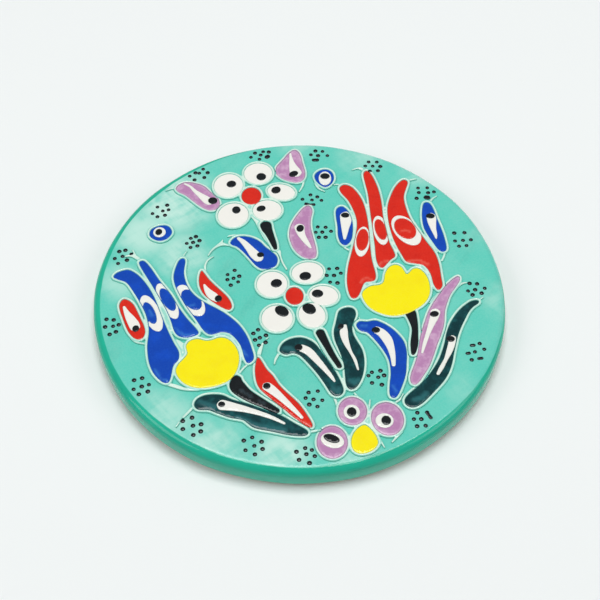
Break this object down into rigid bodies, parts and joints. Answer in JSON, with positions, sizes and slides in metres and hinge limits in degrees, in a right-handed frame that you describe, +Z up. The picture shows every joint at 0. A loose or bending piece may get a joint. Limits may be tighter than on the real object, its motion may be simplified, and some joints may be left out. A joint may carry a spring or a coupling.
{
  "type": "hand painted ceramic plate",
  "caption": "Flat round glazed ceramic plate with raised slip outlines and pools of coloured glaze in a tulip, daisy and leaf pattern on turquoise.",
  "frame": {"origin": "centre of the flat underside, on the table plane", "axes": "+Z up out of the painted face; -Y towards the edge below the small blossom, +X towards the red tulip"},
  "size_m": [0.16, 0.16, 0.0107],
  "materials": {
    "clay": "bare fired clay, dull",
    "turquoise_ground": "glossy fired glaze",
    "rim_teal": "glossy fired glaze",
    "slip": "clear glossy glaze over a pale raised slip",
    "red": "glossy fired glaze",
    "blue": "glossy fired glaze",
    "green": "glossy fired glaze",
    "violet": "glossy fired glaze",
    "yellow": "glossy fired glaze",
    "white": "glossy fired glaze",
    "black": "glossy fired glaze"
  },
  "bodies": {
    "root": {"clay_disc": "clay", "ground_glaze": "turquoise_ground", "rim_glaze": "rim_teal", "red_tulip_slip": "slip", "red_tulip_petals": "red", "red_tulip_rings": "white", "red_tulip_drops": "red", "red_tulip_cup": "yellow", "red_tulip_stem": "black", "red_tulip_side_leaves": "blue", "red_tulip_tears": "white", "red_tulip_eyes": "black", "blue_tulip_slip": "slip", "blue_tulip_petals": "blue", "blue_tulip_rings": "white", "blue_tulip_drops": "blue", "blue_tulip_cup": "yellow", "blue_tulip_stem": "black", "blue_tulip_side_leaves": "red", "blue_tulip_tears": "white", "blue_tulip_eyes": "black", "top_daisy_slip": "slip", "top_daisy_petals": "white", "top_daisy_eyes": "black", "top_daisy_heart": "red", "top_daisy_stem": "black", "centre_daisy_slip": "slip", "centre_daisy_petals": "white", "centre_daisy_eyes": "black", "centre_daisy_heart": "red", "centre_daisy_stem": "black", "violet_leaf_slip": "slip", "violet_leaves": "violet", "violet_leaf_tears": "white", "violet_leaf_eyes": "black", "blue_leaf_slip": "slip", "blue_leaves": "blue", "blue_leaf_tears": "white", "blue_leaf_eyes": "black", "green_leaf_slip": "slip", "green_leaves": "green", "green_leaf_tears": "white", "green_leaf_eyes": "black", "red_leaf_slip": "slip", "red_leaf": "red", "red_leaf_tear": "white", "red_leaf_eye": "black", "blossom_slip": "slip", "blossom_discs": "violet", "blossom_rings": "white", "blossom_eyes": "black", "blossom_heart": "yellow", "bead_slip": "slip", "beads": "blue", "bead_rings": "white", "bead_eyes": "black", "dots": "black"}
  },
  "joints": []
}
